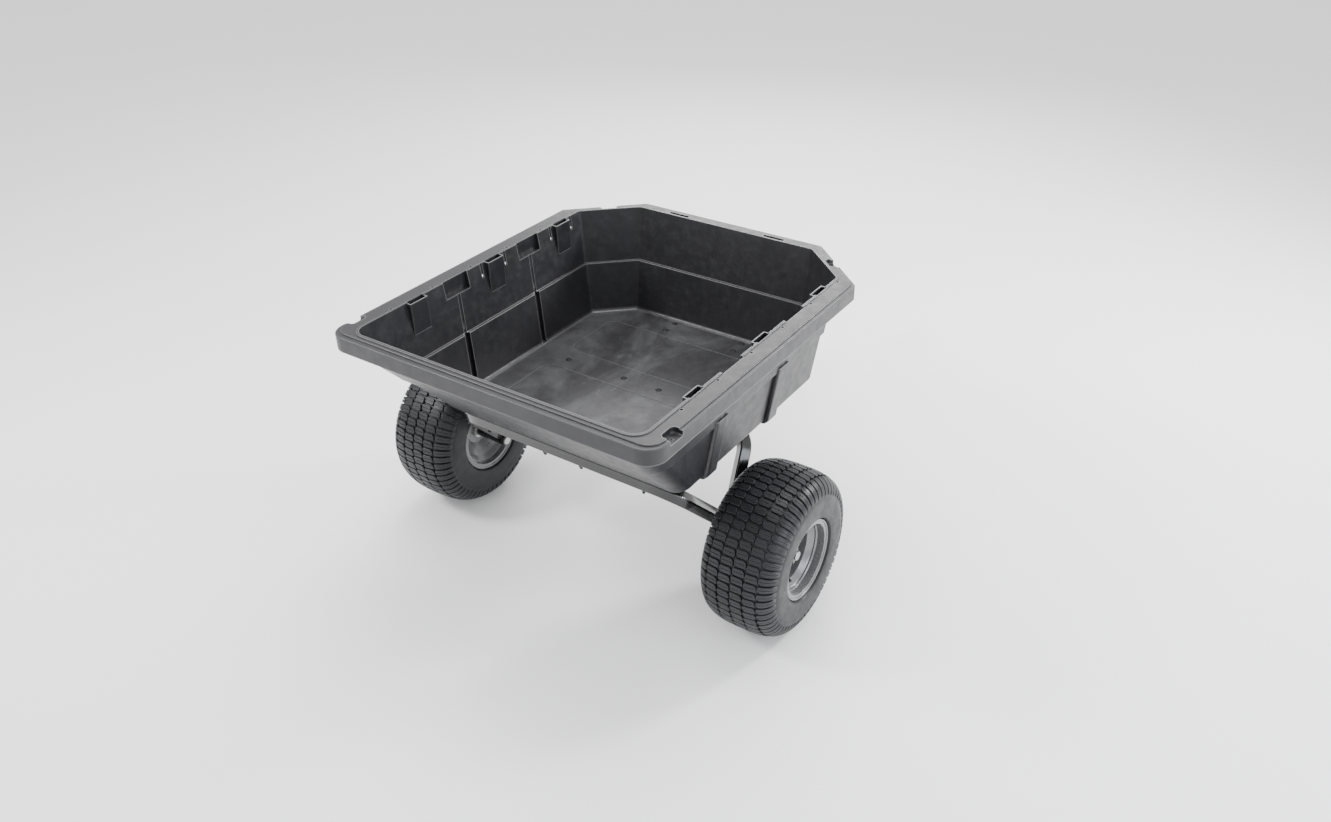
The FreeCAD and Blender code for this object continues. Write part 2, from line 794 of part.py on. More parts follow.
def cotter_pin():
    """Split pin through the end of the axle, with its eye above and its legs turned below."""
    top = axle_z + axle_radius
    low = axle_z - axle_radius
    elbow = V(0, cotter_y, low - 2 * cotter_radius)
    shank = pill(cotter_radius, elbow, V(0, cotter_y, top + cotter_radius))
    eye_z = top + cotter_eye_radius + cotter_radius
    eye = Part.makeTorus(cotter_eye_radius, cotter_radius, V(0, cotter_y, eye_z), Y)
    legs = [pill(cotter_radius * 0.7, elbow, elbow + X * (way * cotter_leg_spread) - Z * cotter_leg_drop)
            for way in (1, -1)]
    return fuse_all([shank, eye] + legs)


def revolved(face):
    """Turn a face in the YZ plane right round the wheel axis."""
    return face.revolve(V(0, 0, axle_z), Y, 360)


def wheel_point(offset, radius):
    """Point above the left wheel's axis, by offset from the wheel's middle plane and by radius."""
    return V(0, wheel_y + offset, axle_z + radius)


def tyre_curve(half_width, depth, low_radius):
    """Superellipse from one sidewall over the tread to the other."""
    middle_radius = tyre_radius - tyre_radial_depth
    drop = (middle_radius - low_radius) / depth
    low_angle = math.asin(drop ** (tyre_exponent / 2))
    points = []
    for i in range(tyre_curve_steps + 1):
        angle = -low_angle + (math.pi + 2 * low_angle) * i / tyre_curve_steps
        cosine = math.cos(angle)
        sine = math.sin(angle)
        offset = math.copysign(abs(cosine) ** (2 / tyre_exponent), cosine) * half_width
        rise = math.copysign(abs(sine) ** (2 / tyre_exponent), sine) * depth
        points.append(wheel_point(offset, middle_radius + rise))
    curve = Part.BSplineCurve()
    curve.interpolate(points)
    return curve.toShape(), points[0], points[-1]


def tyre():
    """Hollow tyre on the left wheel, without its tread blocks."""
    outside, outer_start, outer_end = tyre_curve(tyre_half_width, tyre_radial_depth, tyre_low_radius)
    inside, inner_start, inner_end = tyre_curve(tyre_half_width - tyre_skin,
                                                tyre_radial_depth - tyre_skin,
                                                tyre_low_radius + tyre_skin / 2)
    seat = bead_seat_radius + fit_gap
    heel = rim_flange_half_width - rim_skin - fit_gap
    heel_top = rim_flange_radius + fit_gap
    right = [outer_start, wheel_point(heel + rim_skin, heel_top), wheel_point(heel, heel_top),
             wheel_point(heel, seat), wheel_point(heel - tyre_bead_width, seat), inner_start]
    left = [outer_end, wheel_point(-heel - rim_skin, heel_top), wheel_point(-heel, heel_top),
            wheel_point(-heel, seat), wheel_point(tyre_bead_width - heel, seat), inner_end]
    edges = [outside, inside]
    for chain in (right, left):
        edges += [Part.makeLine(chain[i], chain[i + 1]) for i in range(len(chain) - 1)]
    return revolved(Part.Face(Part.Wire(Part.__sortEdges__(edges))))


def rounded_turning(loop, radius):
    """Turned piece from (offset, radius) pairs, with its ring edges rounded."""
    points = [wheel_point(w, r) for w, r in loop]
    solid = revolved(Part.Face(Part.makePolygon(points + [points[0]])))
    rings = [e for e in solid.Edges if len(e.Vertexes) == 1]
    return solid.makeFillet(radius, rings)


def rim():
    """Rim barrel with its rolled flanges, stepped bead seats and drop centre."""
    flange = rim_flange_half_width
    seat = bead_seat_radius
    well = drop_centre_radius
    steps = [(w, seat - drop) for w, drop in bead_steps]
    tyre_side = [(flange - rim_skin, rim_flange_radius), (flange - rim_skin, seat)] + steps
    tyre_side.append((well_offset, well))
    air_side = [(flange, rim_flange_radius), (flange, seat - rim_skin)]
    air_side += [(w - 1, r - rim_skin) for w, r in steps] + [(well_offset - 1, well - rim_skin)]
    loop = tyre_side + [(-w, r) for w, r in reversed(tyre_side)]
    loop += [(-w, r) for w, r in air_side] + list(reversed(air_side))
    barrel = rounded_turning(loop, rim_round)
    curl_centre = rim_flange_radius - rim_curl_radius
    curls = [Part.makeTorus(curl_centre, rim_curl_radius, V(0, wheel_y + way * flange, axle_z), Y)
             for way in (1, -1)]
    keep_out = axle_ring(rim_flange_radius + 1, 1, wheel_y - flange + rim_skin, wheel_y + flange - rim_skin)
    return fuse_all([barrel] + [curl.cut(keep_out) for curl in curls])


def wheel_disc():
    """Dished disc near the rim's inboard side."""
    front = list(zip(disc_offsets, disc_radii))
    back = [(w - disc_thickness, r) for w, r in front]
    points = [wheel_point(w, r) for w, r in front + list(reversed(back))]
    solid = revolved(Part.Face(Part.makePolygon(points + [points[0]])))
    rings = [e for e in solid.Edges if len(e.Vertexes) == 1 and is_free_ring(e)]
    return solid.makeFillet(disc_round, rings)


def is_free_ring(edge):
    """True for the disc's bends, and not for its edges at the hub and the rim."""
    return hub_radius + 1 < edge.Curve.Radius < disc_radii[-1] - 1


def hub():
    return axle_ring(hub_radius, hub_bore_radius, hub_inner_y, hub_outer_y)


def hub_bushes():
    """Flanged bush pressed into each end of the hub."""
    bore = axle_radius + running_clearance
    outer = [axle_ring(hub_bore_radius, bore, hub_outer_y - bush_length, hub_outer_y),
             axle_ring(bush_flange_radius, bore, hub_outer_y, hub_outer_y + bush_flange)]
    inner = [axle_ring(hub_bore_radius, bore, hub_inner_y, hub_inner_y + bush_length),
             axle_ring(hub_bore_radius - 1, bore, hub_inner_y - fit_gap, hub_inner_y)]
    return Part.makeCompound([fuse_all(outer), fuse_all(inner)])


def at_valve(shape):
    """Turn a piece made at the top of the wheel round to the valve's place."""
    turned = shape.copy()
    turned.rotate(V(0, 0, axle_z), Y, valve_angle)
    return turned


def valve_stem():
    """Rubber valve stem that leans out of the rim's outer side."""
    base = wheel_point(valve_base_offset, valve_base_radius)
    foot = pill(valve_foot_radius, base, base + valve_lean * valve_foot_height)
    stem = pill(valve_stem_radius, base, base + valve_lean * valve_length)
    return at_valve(foot.fuse(stem).cut(rim()))


def valve_cap():
    top = wheel_point(valve_base_offset, valve_base_radius) + valve_lean * valve_length
    cap = pill(valve_cap_radius, top, top + valve_lean * valve_cap_length)
    return at_valve(cap.makeChamfer(valve_cap_radius / 4, [cap.Edges[0]]))


def pivot_rail():
    """Left angle rail under the leg frames, with a deep web that holds the dump pivot."""
    top = frame_top_z - tube
    flange = box(rail_rear_x, rail_front_x, rail_web_y, rail_web_y + rail_flange_width,
                 top - rail_thickness, top)
    rear_top, front_top = rail_web_top_xs
    corners = [V(rear_top, rail_web_y, top), V(-rail_web_low_x, rail_web_y, rail_web_low_z),
               V(rail_web_low_x, rail_web_y, rail_web_low_z), V(front_top, rail_web_y, top)]
    web = Part.Face(Part.makePolygon(corners + [corners[0]])).extrude(Y * rail_thickness)
    holes = [pill(pivot_radius + 0.2, V(pivot_x, 0, pivot_z), V(pivot_x, 200, pivot_z))]
    for x in (rear_frame_x, front_frame_x):
        holes.append(pill(bolt_hole_radius, V(x, frame_bolt_ys[0], 0), V(x, frame_bolt_ys[0], 600)))
    return fuse_all([flange, web]).cut(holes)


def hexagon(centre, direction, across_flats, height):
    """Hexagonal prism from a centre point along a direction."""
    nut = Part.Face(Part.makePolygon([V(math.cos(math.pi * k / 3), math.sin(math.pi * k / 3), 0)
                                      * (across_flats / math.sqrt(3)) for k in range(7)]))
    nut = nut.extrude(Z * height)
    nut.Placement = FreeCAD.Placement(centre, FreeCAD.Rotation(Z, direction))
    return nut


def carriage_bolt(place, head_z):
    """Round-headed bolt that hangs from the floor."""
    shank = pill(bolt_radius, place + Z * bolt_tip_z, place + Z * (head_z + 1))
    ball_radius = (bolt_head_radius ** 2 + bolt_head_height ** 2) / (2 * bolt_head_height)
    ball = Part.makeSphere(ball_radius, place + Z * (head_z + bolt_head_height - ball_radius))
    head = ball.common(pill(bolt_head_radius + 1, place + Z * head_z, place + Z * (head_z + 20)))
    return shank.fuse(head)


def floor_bolts():
    return Part.makeCompound([carriage_bolt(p, floor_z) for p in floor_bolt_places()])


def plain_nut(place, top_z):
    body = hexagon(place + Z * top_z, Z * -1, nut_across_flats, nut_thickness)
    return body.cut(pill(bolt_radius, place + Z * (top_z - 20), place + Z * (top_z + 1)))


def floor_nuts():
    """Nuts under the leg frames; those nearest the middle also hold the pivot rails."""
    frame_bottom = frame_top_z - tube
    nuts = []
    for place in floor_bolt_places():
        on_rail = abs(abs(place.y) - frame_bolt_ys[0]) < 1
        nuts.append(plain_nut(place, frame_bottom - (rail_thickness if on_rail else 0)))
    return Part.makeCompound(nuts)


def latch_bolts():
    bolts = []
    for place in latch_bolt_places():
        bolt = carriage_bolt(place, floor_z)
        bolts.append(bolt.cut(box(0, rim_front_x, -rim_half_width, rim_half_width, 0, latch_bolt_tip_z)))
    return Part.makeCompound(bolts)


def latch_nuts():
    top = frame_top_z - latch_plate_thickness
    return Part.makeCompound([plain_nut(place, top) for place in latch_bolt_places()])


def latch_bracket():
    """Plate under the tub's front with two ears that carry the striker rod."""
    top = frame_top_z
    bottom = top - latch_plate_thickness
    plate = box(latch_plate_rear_x, latch_plate_front_x, -latch_plate_half_width,
                latch_plate_half_width, bottom, top)
    corners = [V(latch_ear_rear_x, latch_ear_y, bottom), V(latch_ear_front_x, latch_ear_y, bottom),
               V(latch_ear_front_x, latch_ear_y, latch_ear_bottom_z),
               V(latch_plate_front_x, latch_ear_y, latch_ear_bottom_z)]
    ear = Part.Face(Part.makePolygon(corners + [corners[0]])).extrude(Y * latch_plate_thickness)
    holes = [pill(bolt_hole_radius, p, p + Z * 600) for p in latch_bolt_places()]
    holes.append(pill(striker_radius, V(striker_x, -200, striker_z), V(striker_x, 200, striker_z)))
    return fuse_all([plate] + both_sides(ear)).cut(holes)


def latch_striker():
    reach = latch_ear_y + latch_plate_thickness + striker_tail
    return pill(striker_radius, V(striker_x, -reach, striker_z), V(striker_x, reach, striker_z))


def pivot_bolt():
    """Bolt through both pivot rails and the tongue's sleeve."""
    reach = rail_web_y + rail_thickness
    shank = pill(pivot_radius, V(pivot_x, -reach - pivot_bolt_tail, pivot_z), V(pivot_x, reach, pivot_z))
    head = hexagon(V(pivot_x, reach, pivot_z), Y, pivot_nut_across_flats, pivot_head_thickness)
    return shank.fuse(head)


def pivot_nut():
    reach = rail_web_y + rail_thickness
    body = hexagon(V(pivot_x, -reach, pivot_z), Y * -1, pivot_nut_across_flats, pivot_nut_thickness)
    return body.cut(pill(pivot_radius, V(pivot_x, -200, pivot_z), V(pivot_x, 0, pivot_z)))


def tongue_bar(side, radius, rear_x, front_x):
    """Solid square bar along the tongue's line."""
    points = [V(rear_x, 0, pivot_z), V(tongue_bend_x, 0, pivot_z), V(tongue_dip_x, 0, hitch_z),
              V(front_x, 0, hitch_z)]
    return square_bar(bent_path(points, tongue_bend_radius), points[0], side, Y, Z, radius)


def hitch_bolt_line(x):
    reach = tongue / 2 + hitch_plate_thickness
    return V(x, 0, hitch_z - reach), V(x, 0, hitch_z + reach)


def tongue_tube():
    """Square tongue tube, bent down to the hitch height."""
    outer = tongue_bar(tongue, tongue_corner, tongue_rear_x, hitch_tube_front_x)
    inner = tongue_bar(tongue - 2 * tongue_wall, tongue_corner - tongue_wall, tongue_rear_x,
                       hitch_tube_front_x)
    holes = [pill(sleeve_outer_radius, V(pivot_x, -tongue, pivot_z), V(pivot_x, tongue, pivot_z))]
    holes += [pill(hitch_bolt_radius + hole_play, *hitch_bolt_line(x)) for x in hitch_bolt_xs]
    return outer.cut(inner).cut(holes)


def pivot_sleeve():
    reach = rail_web_y - sleeve_side_gap
    low = V(pivot_x, -reach, pivot_z)
    high = V(pivot_x, reach, pivot_z)
    return ring(sleeve_outer_radius, pivot_radius + running_clearance, low, high)


def square_stub(rear_x, front_x, side, radius):
    """Short straight square bar on the tongue's rear line."""
    start = V(rear_x, 0, pivot_z)
    line = Part.Wire(Part.makeLine(start, V(front_x, 0, pivot_z)))
    return square_bar(line, start, side, Y, Z, radius)


def tongue_rear_cap():
    """Plastic plug in the tongue's rear end."""
    side = tongue - 2 * tongue_wall - 2 * fit_gap
    plug = square_stub(tongue_rear_x, tongue_rear_x + cap_plug, side, tongue_corner - tongue_wall)
    lid = square_stub(tongue_rear_x - cap_lid, tongue_rear_x, tongue, tongue_corner)
    return plug.fuse(lid).removeSplitter()


def hitch_plate(low_z):
    """Clevis plate with a rounded nose around the hitch pin hole."""
    half = hitch_plate_width / 2
    low = V(0, 0, low_z)
    slab = box(hitch_plate_rear_x, hitch_x, -half, half, low_z, low_z + hitch_plate_thickness)
    nose = pill(half, low + X * hitch_x, low + X * hitch_x + Z * hitch_plate_thickness)
    holes = [pill(hitch_hole_radius, V(hitch_x, 0, 0), V(hitch_x, 0, pivot_z))]
    holes += [pill(hitch_bolt_radius + hole_play, V(x, 0, 0), V(x, 0, pivot_z)) for x in hitch_bolt_xs]
    return slab.fuse(nose).removeSplitter().cut(holes)


def hitch_bolts():
    """Two hexagon bolts through the clevis plates and the tongue."""
    bolts = []
    for x in hitch_bolt_xs:
        low, high = hitch_bolt_line(x)
        shank = pill(hitch_bolt_radius, low - Z * hitch_bolt_tail, high)
        bolts.append(shank.fuse(hexagon(high, Z, hitch_bolt_across_flats, hitch_bolt_head)))
    return Part.makeCompound(bolts)


def hitch_nuts():
    nuts = []
    for x in hitch_bolt_xs:
        low, high = hitch_bolt_line(x)
        nut = hexagon(low, Z * -1, hitch_bolt_across_flats, hitch_nut_thickness)
        nuts.append(nut.cut(pill(hitch_bolt_radius, low - Z * hitch_bolt_tail, high)))
    return Part.makeCompound(nuts)


def bed_rest_block():
    """Steel block on the tongue under the tub's front."""
    return box(rest_block_xs[0], rest_block_xs[1], -tongue / 2, tongue / 2, pivot_z + tongue / 2,
               frame_top_z - latch_plate_thickness - rest_pad_thickness)


def bed_rest_pad():
    """Rubber pad on the rest block."""
    top = frame_top_z - latch_plate_thickness
    pad = box(rest_block_xs[0], rest_block_xs[1], -tongue / 2, tongue / 2, top - rest_pad_thickness,
              top - fit_gap)
    return pad.makeFillet(rest_pad_corner, [e for e in pad.Edges if is_upright(e)])


def lever_axis(reach):
    """Ends of a line of the given half length along the latch lever's pin."""
    return V(lever_pivot_x, -reach, lever_pivot_z), V(lever_pivot_x, reach, lever_pivot_z)


def lever_bracket():
    """Two ears on the tongue for the latch lever's pin."""
    inner = lever_thickness / 2 + lever_ear_gap
    top = lever_pivot_z + lever_ear_rise
    ear = box(lever_pivot_x - lever_ear_half_length, lever_pivot_x + lever_ear_half_length, inner,
              inner + lever_ear_thickness, pivot_z + tongue / 2, top)
    level_top = [e for e in ear.Edges if e.BoundBox.ZMin > top - 1 and not along_x(e)]
    ear = ear.makeFillet(lever_ear_round, level_top)
    hole = pill(lever_pin_radius, *lever_axis(tongue))
    return Part.makeCompound([s.cut(hole) for s in both_sides(ear)])


def along_x(edge):
    return edge.BoundBox.XLength > edge.BoundBox.YLength


def lever_pin():
    reach = lever_thickness / 2 + lever_ear_gap + lever_ear_thickness + lever_pin_tail
    return pill(lever_pin_radius, *lever_axis(reach))


def flat_bar(outline):
    """Plate of the lever's thickness from an outline of (x, z) pairs, across the middle plane."""
    points = [V(x, -lever_thickness / 2, z) for x, z in outline]
    return Part.Face(Part.makePolygon(points + [points[0]])).extrude(Y * lever_thickness)


def latch_lever():
    """Flat lever in its released place: a hook for the striker rod and an arm out to the pedal."""
    hook_z = striker_z + striker_radius + hook_play
    hook_top = hook_z + hook_depth
    tip_x = striker_x - striker_radius + 2 * hook_play
    half = lever_half_height
    hook = flat_bar([(tip_x, hook_z), (striker_x + striker_radius + 2 * hook_play, hook_z),
                     (lever_pivot_x - half, lever_pivot_z), (lever_pivot_x, lever_pivot_z - half),
                     (lever_pivot_x + half, lever_pivot_z), (lever_pivot_x, hook_top),
                     (tip_x, hook_top)])
    hook.rotate(V(lever_pivot_x, 0, lever_pivot_z), Y, lever_release_angle)
    pedal_rear_x = pedal_x - pedal_length / 2
    arm_top = pedal_z - pedal_thickness / 2
    tip_x = pedal_rear_x + pedal_length - half
    arm = flat_bar([(lever_pivot_x, lever_pivot_z - half), (tip_x, arm_top - half), (tip_x, arm_top),
                    (pedal_rear_x, arm_top), (lever_pivot_x, lever_pivot_z + half)])
    pedal = box(pedal_rear_x, pedal_rear_x + pedal_length, -pedal_width / 2, pedal_width / 2, arm_top,
                pedal_z + pedal_thickness / 2)
    pedal = pedal.makeFillet(pedal_corner, [e for e in pedal.Edges if is_upright(e)])
    hole = pill(lever_pin_radius + running_clearance, *lever_axis(tongue))
    return fuse_all([hook, arm, pedal]).cut(hole)


def pedal_pad():
    """Ribbed rubber pad on the pedal."""
    rear_x = pedal_x - pedal_length / 2 + pad_margin
    front_x = pedal_x + pedal_length / 2 - pad_margin
    low = pedal_z + pedal_thickness / 2
    top = low + pad_thickness
    half = pedal_width / 2 - pad_margin
    pad = box(rear_x, front_x, -half, half, low, top)
    pad = pad.makeFillet(pad_corner, [e for e in pad.Edges if is_upright(e)])
    grooves = []
    x = rear_x + pad_groove_pitch
    while x < front_x - pad_groove_width:
        grooves.append(box(x - pad_groove_width, x, -pedal_width, pedal_width,
                           top - pad_groove_depth, top + 1))
        x += pad_groove_pitch
    return pad.cut(grooves)


def save(name, shape):
    """Write one node, moved so that the origin is under the middle of the overall length."""
    placed = shape.copy()
    placed.translate(V(-(rim_rear_x + hitch_x + hitch_plate_width / 2) / 2, 0, 0))
    placed.exportStep("parts/" + name + ".step")
    print(name, len(placed.Solids), placed.isValid(), round(placed.Volume / 1000, 1))


os.makedirs("parts", exist_ok=True)

tongue_parts = {
    "tongue_tube": tongue_tube(),
    "tongue_pivot_sleeve": pivot_sleeve(),
    "tongue_rear_cap": tongue_rear_cap(),
    "hitch_plate_upper": hitch_plate(hitch_z + tongue / 2),
    "hitch_plate_lower": hitch_plate(hitch_z - tongue / 2 - hitch_plate_thickness),
    "hitch_bolts": hitch_bolts(),
    "hitch_nuts": hitch_nuts(),
    "bed_rest_block": bed_rest_block(),
    "bed_rest_pad": bed_rest_pad(),
    "latch_lever_bracket": lever_bracket(),
    "latch_lever_pin": lever_pin(),
    "latch_lever": latch_lever(),
    "pedal_pad": pedal_pad(),
}
bed_parts = {
    "tub": tub(),
    "rear_leg_frame": leg_frame(rear_frame_x),
    "front_leg_frame": leg_frame(front_frame_x),
    "rear_frame_strips": frame_strips(rear_frame_x),
    "front_frame_strips": frame_strips(front_frame_x),
    "pivot_bolt": pivot_bolt(),
    "pivot_nut": pivot_nut(),
    "floor_bolts": floor_bolts(),
    "floor_nuts": floor_nuts(),
    "latch_bracket": latch_bracket(),
    "latch_striker": latch_striker(),
    "latch_strips": latch_strips(),
    "latch_bolts": latch_bolts(),
    "latch_nuts": latch_nuts(),
}
paired_parts = {
    "leg_gusset": gusset(),
    "axle_sleeve": axle_sleeve(),
    "stub_axle": stub_axle(),
    "axle_spacer": axle_spacer(),
    "axle_washers": axle_washers(),
    "cotter_pin": cotter_pin(),
    "pivot_rail": pivot_rail(),
    "tyre": tyre(),
    "rim": rim(),
    "wheel_disc": wheel_disc(),
    "hub": hub(),
    "hub_bushes": hub_bushes(),
    "valve_stem": valve_stem(),
    "valve_cap": valve_cap(),
}

for name, shape in (tongue_parts | bed_parts).items():
    save(name, shape)
for name, shape in paired_parts.items():
    for side, half in zip(("left_", "right_"), both_sides(shape)):
        save(side + name, half)
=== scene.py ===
"""Looks of the tow behind cart: moulded tub, turf tyres, silver rims and gloss black frames."""

import json
import math

import bpy
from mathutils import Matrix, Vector


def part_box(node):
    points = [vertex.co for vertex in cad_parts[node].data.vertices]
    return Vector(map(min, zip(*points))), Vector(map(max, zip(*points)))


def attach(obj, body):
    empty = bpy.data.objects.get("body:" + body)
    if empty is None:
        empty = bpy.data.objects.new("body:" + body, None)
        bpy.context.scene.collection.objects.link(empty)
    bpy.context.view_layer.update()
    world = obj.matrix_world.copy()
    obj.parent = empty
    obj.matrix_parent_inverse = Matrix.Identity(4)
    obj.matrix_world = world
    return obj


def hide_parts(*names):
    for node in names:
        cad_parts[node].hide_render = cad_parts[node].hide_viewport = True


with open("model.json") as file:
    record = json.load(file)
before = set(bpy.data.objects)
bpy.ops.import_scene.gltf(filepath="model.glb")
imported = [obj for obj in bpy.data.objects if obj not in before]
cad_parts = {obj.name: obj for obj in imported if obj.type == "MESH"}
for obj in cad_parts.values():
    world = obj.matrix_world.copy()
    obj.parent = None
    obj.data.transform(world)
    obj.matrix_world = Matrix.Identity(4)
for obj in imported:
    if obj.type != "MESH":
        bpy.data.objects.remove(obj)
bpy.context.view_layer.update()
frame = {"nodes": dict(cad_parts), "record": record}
NODES = frame["nodes"]
TUB_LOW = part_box("tub")[0]

# ---- materials ------------------------------------------------------------------------------


class Nodes:
    """Short way to write one material's nodes."""

    def __init__(self, name):
        self.material = bpy.data.materials.new(name)
        self.material.use_nodes = True
        self.tree = self.material.node_tree
        self.shader = self.tree.nodes["Principled BSDF"]
        self.coords = self.tree.nodes.new("ShaderNodeTexCoord")
        self.place = self.coords.outputs["Object"]

    def link(self, source, target):
        self.tree.links.new(source, target)

    def stretch(self, scale, source=None):
        node = self.tree.nodes.new("ShaderNodeMapping")
        node.inputs["Scale"].default_value = scale
        self.link(source or self.place, node.inputs["Vector"])
        return node.outputs["Vector"]

    def noise(self, scale, detail=4.0, roughness=0.55, source=None, distortion=0.0):
        node = self.tree.nodes.new("ShaderNodeTexNoise")
        node.inputs["Scale"].default_value = scale
        node.inputs["Detail"].default_value = detail
        node.inputs["Roughness"].default_value = roughness
        node.inputs["Distortion"].default_value = distortion
        self.link(source or self.place, node.inputs["Vector"])
        return node.outputs["Fac"]

    def cells(self, scale, source=None):
        node = self.tree.nodes.new("ShaderNodeTexVoronoi")
        node.inputs["Scale"].default_value = scale
        self.link(source or self.place, node.inputs["Vector"])
        return node.outputs["Distance"]

    def ranged(self, value, low, high, to_low=0.0, to_high=1.0):
        node = self.tree.nodes.new("ShaderNodeMapRange")
        node.interpolation_type = "SMOOTHSTEP"
        for name, number in (("From Min", low), ("From Max", high), ("To Min", to_low),
                             ("To Max", to_high)):
            node.inputs[name].default_value = number
        self.link(value, node.inputs["Value"])
        return node.outputs["Result"]

    def maths(self, operation, first, second=0.0):
        node = self.tree.nodes.new("ShaderNodeMath")
        node.operation = operation
        for socket, value in zip(node.inputs, (first, second)):
            if isinstance(value, (int, float)):
                socket.default_value = value
            else:
                self.link(value, socket)
        return node.outputs["Value"]

    def axis(self, source, name):
        node = self.tree.nodes.new("ShaderNodeSeparateXYZ")
        self.link(source, node.inputs["Vector"])
        return node.outputs[name]

    def blend(self, amount, first, second):
        node = self.tree.nodes.new("ShaderNodeMix")
        node.data_type = "RGBA"
        for socket, value in ((node.inputs["Factor"], amount), (node.inputs["A"], first),
                              (node.inputs["B"], second)):
            if isinstance(value, tuple):
                socket.default_value = value + (1.0,)
            elif isinstance(value, (int, float)):
                socket.default_value = value
            else:
                self.link(value, socket)
        return node.outputs["Result"]

    def outer_edges(self, distance, low, high):
        """Mask that rises at outward edges, where rays into the body soon meet another face."""
        node = self.tree.nodes.new("ShaderNodeAmbientOcclusion")
        node.inside = True
        node.only_local = True
        node.samples = 6
        node.inputs["Distance"].default_value = distance
        return self.ranged(self.maths("SUBTRACT", 1.0, node.outputs["AO"]), low, high)

    def colour(self, value):
        self.link(value, self.shader.inputs["Base Color"])

    def roughness(self, value):
        self.link(value, self.shader.inputs["Roughness"])

    def bump(self, height, distance, strength=1.0, before=None):
        node = self.tree.nodes.new("ShaderNodeBump")
        node.inputs["Distance"].default_value = distance
        node.inputs["Strength"].default_value = strength
        self.link(height, node.inputs["Height"])
        if before is not None:
            self.link(before, node.inputs["Normal"])
        self.link(node.outputs["Normal"], self.shader.inputs["Normal"])
        return node.outputs["Normal"]

    def set(self, **values):
        for name, value in values.items():
            self.shader.inputs[name.replace("_", " ")].default_value = value


def tub_material():
    n = Nodes("tub_plastic")
    normal = n.coords.outputs["Normal"]
    facing_up = n.ranged(n.axis(normal, "Z"), 0.55, 0.95)
    low = n.ranged(n.axis(n.place, "Z"), TUB_LOW.z + 0.03, TUB_LOW.z + 0.012)
    on_floor = n.maths("MULTIPLY", facing_up, low)
    cloud = n.noise(3.2, 5.0, 0.6)
    mottle = n.noise(38.0, 6.0, 0.65)
    tone = n.blend(n.ranged(cloud, 0.3, 0.7), (0.0100, 0.0098, 0.0122), (0.0172, 0.0169, 0.0200))
    tone = n.blend(n.ranged(mottle, 0.5, 0.8, 0.0, 0.3), tone, (0.034, 0.034, 0.036))
    # Large soft lighter patches on the floor are partly rubbed plastic and partly painted sheen; the
    # same patches also lower the roughness.
    worn = n.ranged(n.noise(2.3, 7.0, 0.62, n.stretch((1.0, 1.5, 1.0)), 0.8), 0.40, 0.68)
    worn = n.maths("MULTIPLY", worn, on_floor)
    tone = n.blend(n.maths("MULTIPLY", worn, 0.75), tone, (0.082, 0.083, 0.087))
    scuff = n.noise(26.0, 3.0, 0.6, n.stretch((0.35, 1.0, 1.0)), 1.6)
    scuff = n.maths("MULTIPLY", n.ranged(scuff, 0.66, 0.74, 0.0, 0.28), on_floor)
    tone = n.blend(scuff, tone, (0.085, 0.085, 0.088))
    # Painted highlight: a lighter colour, with lower roughness, along the tub's outward edges and
    # fillets.
    edge = n.maths("MULTIPLY", n.outer_edges(0.0027, 0.03, 0.26), 0.85)
    n.colour(n.blend(edge, tone, (0.125, 0.125, 0.130)))
    rough = n.ranged(mottle, 0.3, 0.75, 0.36, 0.50)
    rough = n.maths("SUBTRACT", rough, n.maths("MULTIPLY", worn, 0.06))
    n.roughness(n.maths("SUBTRACT", rough, n.maths("MULTIPLY", edge, 0.10)))
    grain = n.noise(1150.0, 2.0, 0.5)
    first = n.bump(grain, 0.00012, 0.6)
    n.bump(n.noise(11.0, 3.0, 0.5), 0.0022, 0.4, first)
    return n.material


def painted_material(name, dark, light, rough, coat):
    n = Nodes(name)
    tone = n.noise(22.0, 5.0, 0.6)
    n.colour(n.blend(n.ranged(tone, 0.35, 0.75), dark, light))
    n.roughness(n.ranged(n.noise(90.0, 4.0, 0.6), 0.3, 0.8, rough, rough + 0.10))
    n.bump(n.noise(320.0, 2.0, 0.5), 0.00012, 0.35)
    n.set(Coat_Weight=coat, Coat_Roughness=0.07)
    return n.material


def rim_material():
    n = Nodes("rim_paint")
    flakes = n.cells(1600.0)
    stain = n.noise(16.0, 6.0, 0.65)
    tone = n.blend(n.ranged(flakes, 0.2, 0.8), (0.205, 0.205, 0.213), (0.165, 0.165, 0.172))
    n.colour(n.blend(n.ranged(stain, 0.5, 0.8, 0.0, 0.45), tone, (0.13, 0.128, 0.125)))
    n.roughness(n.ranged(stain, 0.3, 0.8, 0.24, 0.34))
    n.bump(n.noise(700.0, 2.0, 0.5), 0.00008, 0.4)
    n.set(Metallic=0.40)
    return n.material


def zinc_material():
    n = Nodes("zinc_plate")
    turned = n.noise(60.0, 3.0, 0.5, n.stretch((12.0, 0.6, 12.0)))
    patches = n.noise(55.0, 5.0, 0.6)
    n.colour(n.blend(n.ranged(patches, 0.35, 0.7), (0.52, 0.52, 0.51), (0.38, 0.38, 0.37)))
    n.roughness(n.ranged(turned, 0.3, 0.7, 0.24, 0.40))
    n.bump(turned, 0.00006, 0.5)
    n.set(Metallic=1.0)
    return n.material


